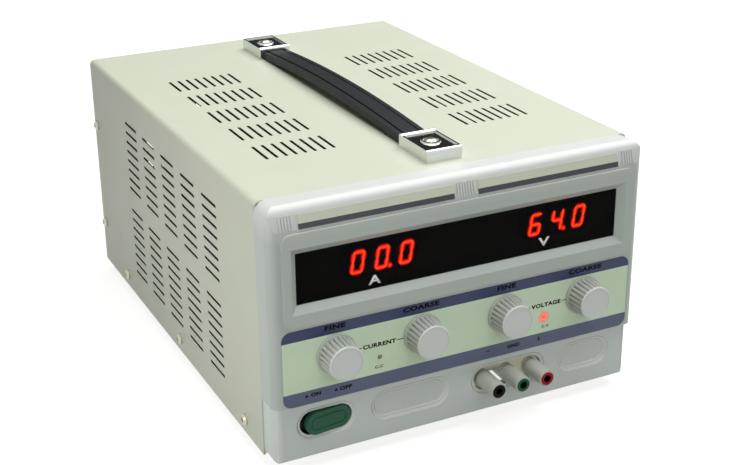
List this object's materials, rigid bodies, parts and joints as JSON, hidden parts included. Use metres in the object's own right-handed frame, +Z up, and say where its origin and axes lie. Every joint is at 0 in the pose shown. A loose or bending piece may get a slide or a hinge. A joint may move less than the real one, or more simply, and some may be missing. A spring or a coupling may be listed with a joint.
{
  "type": "bench power supply",
  "caption": "Box-shaped bench power supply with vented steel cover, strap handle, LED meters behind a dark window, control knobs, rocker switch and binding posts.",
  "frame": {"origin": "on the bench under the middle of the bounding box", "axes": "+Z up, the control front faces -Y, +X to the right of someone facing the front"},
  "size_m": [0.2698, 0.3846, 0.1898],
  "materials": {
    "ivory_paint": "fine-textured satin paint",
    "zinc_sheet": "plated sheet steel",
    "black_rubber": "matt rubber",
    "plated_screw": "nickel plating",
    "grey_moulding": "finely grained moulding",
    "tinted_window": "dark tinted acrylic",
    "printed_overlay": "printed satin film",
    "name_strip": "printed satin film",
    "circuit_board": "solder mask",
    "digit_case": "dark digit modules",
    "lamp_off": "clear moulded lens",
    "lamp_red": "lit red lens",
    "pot_can": "plated can",
    "black_plastic": "moulded plastic",
    "green_plastic": "moulded plastic",
    "terminal_sheet": "insulating sheet",
    "post_grey": "moulded plastic",
    "post_brass": "turned brass",
    "plated_link": "nickel plating",
    "ring_black": "moulded plastic",
    "ring_green": "moulded plastic",
    "ring_red": "moulded plastic",
    "strap_black": "satin moulded strap",
    "chrome_cap": "bright plating",
    "guard_wire": "bright wire",
    "core_steel": "laminated steel",
    "winding_tape": "wound and taped coil",
    "sink_aluminium": "extruded aluminium",
    "capacitor_sleeve": "shrunk sleeve",
    "knob_grey": "moulded plastic",
    "knob_cap_grey": "satin disc",
    "shaft_steel": "ground shaft"
  },
  "bodies": {
    "case": {"cover": "ivory_paint", "base_tray": "zinc_sheet", "rear_panel": "zinc_sheet", "feet": "black_rubber", "foot_screws": "plated_screw", "cover_screws": "plated_screw", "front_bezel": "grey_moulding", "display_window": "tinted_window", "control_overlay": "printed_overlay", "name_strips": "name_strip", "display_board": "circuit_board", "amps_digits": "digit_case", "volts_digits": "digit_case", "cc_lamp": "lamp_off", "cv_lamp": "lamp_red", "potentiometers": "pot_can", "pot_nuts": "plated_screw", "switch_body": "black_plastic", "terminal_board": "terminal_sheet", "post_collars": "post_grey", "post_studs": "post_brass", "post_nuts": "post_brass", "ground_link": "plated_link", "handle_strap": "strap_black", "handle_caps": "chrome_cap", "handle_inserts": "chrome_cap", "handle_screws": "plated_screw", "fan_frame": "black_plastic", "fan_guard": "guard_wire", "fan_screws": "plated_screw", "mains_inlet": "black_plastic", "transformer_core": "core_steel", "transformer_winding": "winding_tape", "heat_sink": "sink_aluminium", "power_transistors": "black_plastic", "bridge_rectifier": "black_plastic", "filter_capacitors": "capacitor_sleeve", "control_board": "circuit_board", "board_standoffs": "post_brass"},
    "current_fine_control": {"current_fine_knob": "knob_grey", "current_fine_knob_cap": "knob_cap_grey", "current_fine_shaft": "shaft_steel"},
    "current_coarse_control": {"current_coarse_knob": "knob_grey", "current_coarse_knob_cap": "knob_cap_grey", "current_coarse_shaft": "shaft_steel"},
    "voltage_fine_control": {"voltage_fine_knob": "knob_grey", "voltage_fine_knob_cap": "knob_cap_grey", "voltage_fine_shaft": "shaft_steel"},
    "voltage_coarse_control": {"voltage_coarse_knob": "knob_grey", "voltage_coarse_knob_cap": "knob_cap_grey", "voltage_coarse_shaft": "shaft_steel"},
    "rocker": {"power_rocker": "green_plastic"},
    "fan_rotor": {"fan_impeller": "black_plastic"},
    "fuse_tray": {"fuse_drawer": "black_plastic"},
    "black_ring": {"black_post_ring": "ring_black"},
    "black_cap": {"black_post_cap": "post_grey"},
    "green_ring": {"green_post_ring": "ring_green"},
    "green_cap": {"green_post_cap": "post_grey"},
    "red_ring": {"red_post_ring": "ring_red"},
    "red_cap": {"red_post_cap": "post_grey"}
  },
  "joints": [
    {"name": "current_fine_turn", "type": "hinge", "parent": "case", "child": "current_fine_control", "pos_m": [-0.0901, -0.1767, 0.0792], "axis": [0, 1, 0], "range_deg": [-150, 150]},
    {"name": "current_coarse_turn", "type": "hinge", "parent": "case", "child": "current_coarse_control", "pos_m": [-0.0305, -0.1767, 0.0792], "axis": [0, 1, 0], "range_deg": [-150, 150]},
    {"name": "voltage_fine_turn", "type": "hinge", "parent": "case", "child": "voltage_fine_control", "pos_m": [0.0305, -0.1767, 0.0792], "axis": [0, 1, 0], "range_deg": [-150, 150]},
    {"name": "voltage_coarse_turn", "type": "hinge", "parent": "case", "child": "voltage_coarse_control", "pos_m": [0.0901, -0.1767, 0.0792], "axis": [0, 1, 0], "range_deg": [-150, 150]},
    {"name": "power_rock", "type": "hinge", "parent": "case", "child": "rocker", "pos_m": [-0.096, -0.1627, 0.0322], "axis": [0, 0, 1], "range_deg": [-14, 0]},
    {"name": "fan_spin", "type": "hinge", "parent": "case", "child": "fan_rotor", "pos_m": [-0.062, 0.1733, 0.104], "axis": [0, 1, 0], "continuous": true},
    {"name": "fuse_pull", "type": "slide", "parent": "case", "child": "fuse_tray", "axis": [0, 1, 0], "range_m": [0, 0.02]},
    {"name": "black_post_travel", "type": "slide", "parent": "case", "child": "black_ring", "axis": [0, -1, 0], "range_m": [0, 0.005]},
    {"name": "black_post_turn", "type": "hinge", "parent": "black_ring", "child": "black_cap", "pos_m": [0.0181, -0.1832, 0.0322], "axis": [0, -1, 0], "range_deg": [0, 1810]},
    {"name": "green_post_travel", "type": "slide", "parent": "case", "child": "green_ring", "axis": [0, -1, 0], "range_m": [0, 0.005]},
    {"name": "green_post_turn", "type": "hinge", "parent": "green_ring", "child": "green_cap", "pos_m": [0.0365, -0.1832, 0.0322], "axis": [0, -1, 0], "range_deg": [0, 1810]},
    {"name": "red_post_travel", "type": "slide", "parent": "case", "child": "red_ring", "axis": [0, -1, 0], "range_m": [0, 0.005]},
    {"name": "red_post_turn", "type": "hinge", "parent": "red_ring", "child": "red_cap", "pos_m": [0.0549, -0.1832, 0.0322], "axis": [0, -1, 0], "range_deg": [0, 1810]}
  ],
  "couplings": [
    {"joint": "black_post_turn", "follows": "black_post_travel", "rad_per_m": 6283.2},
    {"joint": "green_post_turn", "follows": "green_post_travel", "rad_per_m": 6283.2},
    {"joint": "red_post_turn", "follows": "red_post_travel", "rad_per_m": 6283.2}
  ]
}
